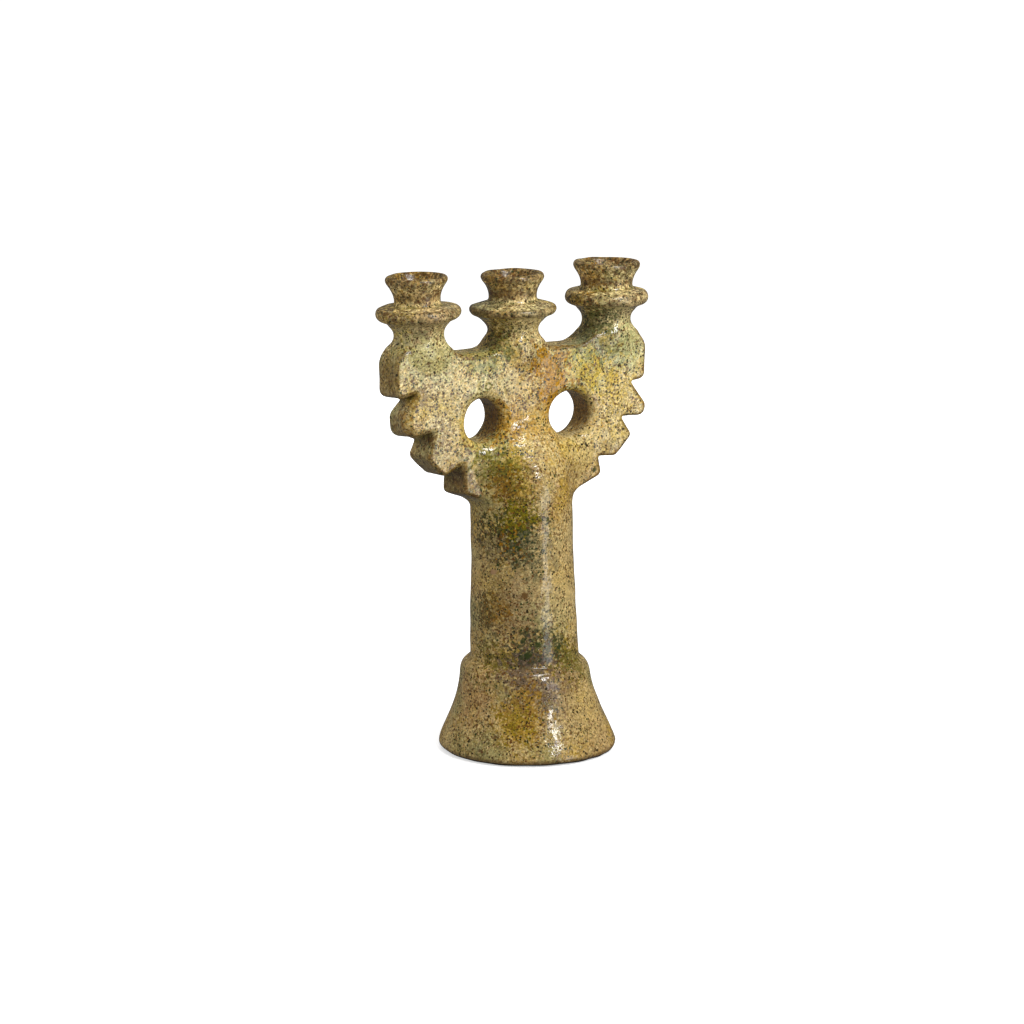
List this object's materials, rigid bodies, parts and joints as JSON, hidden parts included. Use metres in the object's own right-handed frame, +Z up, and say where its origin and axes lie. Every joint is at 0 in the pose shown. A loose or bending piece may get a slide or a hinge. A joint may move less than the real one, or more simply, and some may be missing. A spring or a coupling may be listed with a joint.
{
  "type": "candelabrum",
  "caption": "Glazed clay candelabrum in the shape of a tree: flared foot, hollow trunk, slab crown with leaf-cut sides and round windows, and a row of candle sockets with drip pans.",
  "frame": {"origin": "centre of the foot's standing ring, on the table plane", "axes": "+Z up, +X along the row of sockets, -Y towards the front, where the trunk's dome stands proud of the slab"},
  "size_m": [0.2365, 0.141, 0.3849],
  "materials": {
    "glaze_foot": "glossy, speckled buff glaze over grogged stoneware",
    "glaze_trunk": "glossy, speckled buff glaze over grogged stoneware",
    "glaze_crown_slab": "glossy, speckled buff glaze over grogged stoneware",
    "glaze_neck_left": "glossy, speckled buff glaze over grogged stoneware",
    "glaze_neck_middle": "glossy, speckled buff glaze over grogged stoneware",
    "glaze_neck_right": "glossy, speckled buff glaze over grogged stoneware",
    "glaze_drip_pan_left": "glossy, speckled buff glaze over grogged stoneware",
    "glaze_drip_pan_middle": "glossy, speckled buff glaze over grogged stoneware",
    "glaze_drip_pan_right": "glossy, speckled buff glaze over grogged stoneware",
    "glaze_candle_cup_left": "glossy, speckled buff glaze over grogged stoneware",
    "glaze_candle_cup_middle": "glossy, speckled buff glaze over grogged stoneware",
    "glaze_candle_cup_right": "glossy, speckled buff glaze over grogged stoneware"
  },
  "bodies": {
    "root": {"foot": "glaze_foot", "trunk": "glaze_trunk", "crown_slab": "glaze_crown_slab", "neck_left": "glaze_neck_left", "neck_middle": "glaze_neck_middle", "neck_right": "glaze_neck_right", "drip_pan_left": "glaze_drip_pan_left", "drip_pan_middle": "glaze_drip_pan_middle", "drip_pan_right": "glaze_drip_pan_right", "candle_cup_left": "glaze_candle_cup_left", "candle_cup_middle": "glaze_candle_cup_middle", "candle_cup_right": "glaze_candle_cup_right"}
  },
  "joints": []
}
